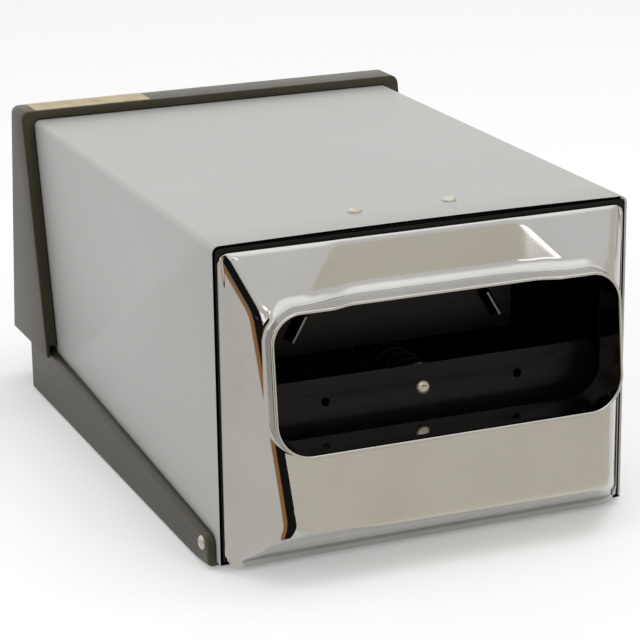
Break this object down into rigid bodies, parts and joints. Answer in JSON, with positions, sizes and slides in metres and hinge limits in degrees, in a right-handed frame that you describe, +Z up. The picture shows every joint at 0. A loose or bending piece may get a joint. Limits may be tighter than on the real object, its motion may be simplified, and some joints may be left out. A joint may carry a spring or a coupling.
{
  "type": "napkin dispenser",
  "caption": "Countertop napkin dispenser: folded steel shell on a plastic tray, plated snout faceplate with a rounded mouth, spring-fed follower and hinged loading door at the rear.",
  "frame": {"origin": "below the middle of the object's bounding box, on the plane that the feet stand on", "axes": "+X to the object's right seen from its front, +Y from the faceplate to the rear door, +Z up"},
  "size_m": [0.2026, 0.321, 0.1473],
  "materials": {
    "silver_paint": "satin silver-grey enamel",
    "black_plastic": "satin, fine moulded texture",
    "chrome": "bright plated",
    "black_enamel": "gloss black enamel",
    "bare_metal": "plain zinc-plated",
    "spring_steel": "drawn wire",
    "rubber": "matte",
    "label_paper": "blank paper label, matte",
    "nylon": "natural"
  },
  "bodies": {
    "housing": {"base_tray": "black_plastic", "shell": "silver_paint", "face_frame": "black_enamel", "faceplate": "chrome", "upper_retainer": "black_enamel", "pusher_spring": "spring_steel", "latch_leaf": "bare_metal", "top_rivet_left": "bare_metal", "side_rivet_left": "bare_metal", "guide_rail_left": "bare_metal", "hinge_pin_left": "bare_metal", "foot_front_left": "rubber", "foot_rear_left": "rubber", "floor_rivet_front_left": "bare_metal", "floor_rivet_rear_left": "bare_metal", "face_screw_lower_left": "bare_metal", "face_screw_upper_left": "bare_metal", "top_rivet_right": "bare_metal", "side_rivet_right": "bare_metal", "guide_rail_right": "bare_metal", "hinge_pin_right": "bare_metal", "foot_front_right": "rubber", "foot_rear_right": "rubber", "floor_rivet_front_right": "bare_metal", "floor_rivet_rear_right": "bare_metal", "face_screw_lower_right": "bare_metal", "face_screw_upper_right": "bare_metal"},
    "door": {"rear_door": "black_plastic", "spring_seat": "black_plastic", "latch_tongue": "black_plastic", "door_label": "label_paper"},
    "follower": {"follower_plate": "black_enamel", "follower_rivet": "bare_metal", "spring_clip": "bare_metal", "glide_shoe_left": "nylon", "glide_shoe_right": "nylon"}
  },
  "joints": [
    {"name": "door_hinge", "type": "hinge", "parent": "housing", "child": "door", "pos_m": [0, 0.14201, 0.032], "axis": [-1, 0, 0], "range_deg": [0, 90]},
    {"name": "follower_slide", "type": "slide", "parent": "housing", "child": "follower", "axis": [0, 1, 0], "range_m": [0, 0.19], "stiffness_N_per_m": 30, "springref_m": -0.1, "deforming": ["pusher_spring"]}
  ]
}
